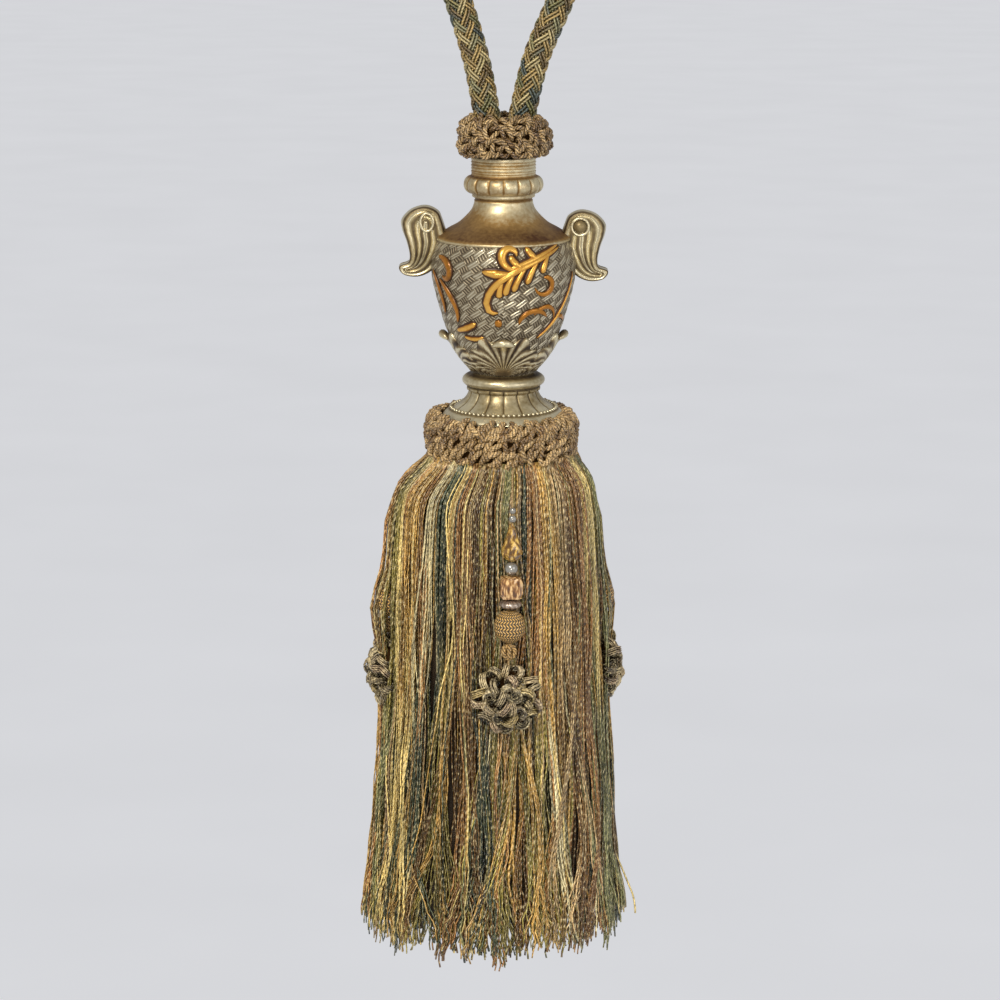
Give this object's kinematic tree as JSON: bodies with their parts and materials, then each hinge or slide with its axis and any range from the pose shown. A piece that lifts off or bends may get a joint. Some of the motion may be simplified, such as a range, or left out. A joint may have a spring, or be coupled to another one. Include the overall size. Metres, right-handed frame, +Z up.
{
  "type": "curtain tieback tassel",
  "caption": "Curtain tieback with a braided rope loop, an urn-shaped head with scroll handles, a long yarn skirt and bead strings ending in rosettes.",
  "frame": {"origin": "where the rope loop hangs: on the underside of the top of its arch", "axes": "+Z up along the hanging tassel, -Y towards the front of the head, +X to the right seen from the front"},
  "size_m": [0.104, 0.107, 0.462],
  "materials": {
    "braided_rope": "braided chenille and rayon yarns in gold, olive, teal and brown",
    "twisted_cord": "lustrous two-ply twisted rayon cord, antique gold",
    "antique_gold": "cast resin with antiqued champagne-gold metallic paint, darker in the hollows",
    "mixed_yarn": "lustrous rayon yarns in gold, straw, olive, sage, teal, rust and taupe",
    "thread": "thin taupe thread",
    "pearl": "silver-grey pearl coating",
    "amber_glass": "faceted amber crystal",
    "peach_glass": "faceted peach crystal",
    "silver_bead": "pinkish silver coating",
    "wound_thread": "ball wound closely with gold thread",
    "taupe_cord": "looped multi-ply cord, taupe-silver with olive and mauve"
  },
  "bodies": {
    "root": {"rope": "braided_rope", "ruff": "twisted_cord", "urn": "antique_gold", "collar": "twisted_cord", "skirt": "mixed_yarn", "thread_0": "thread", "pearl_a_0": "pearl", "pearl_b_0": "pearl", "drop_0": "amber_glass", "pearl_c_0": "pearl", "cube_0": "peach_glass", "disc_0": "silver_bead", "ball_0": "wound_thread", "knot_0": "twisted_cord", "pompon_0": "taupe_cord", "thread_1": "thread", "pearl_a_1": "pearl", "pearl_b_1": "pearl", "drop_1": "amber_glass", "pearl_c_1": "pearl", "cube_1": "peach_glass", "disc_1": "silver_bead", "ball_1": "wound_thread", "knot_1": "twisted_cord", "pompon_1": "taupe_cord", "thread_2": "thread", "pearl_a_2": "pearl", "pearl_b_2": "pearl", "drop_2": "amber_glass", "pearl_c_2": "pearl", "cube_2": "peach_glass", "disc_2": "silver_bead", "ball_2": "wound_thread", "knot_2": "twisted_cord", "pompon_2": "taupe_cord", "thread_3": "thread", "pearl_a_3": "pearl", "pearl_b_3": "pearl", "drop_3": "amber_glass", "pearl_c_3": "pearl", "cube_3": "peach_glass", "disc_3": "silver_bead", "ball_3": "wound_thread", "knot_3": "twisted_cord", "pompon_3": "taupe_cord"}
  },
  "joints": []
}
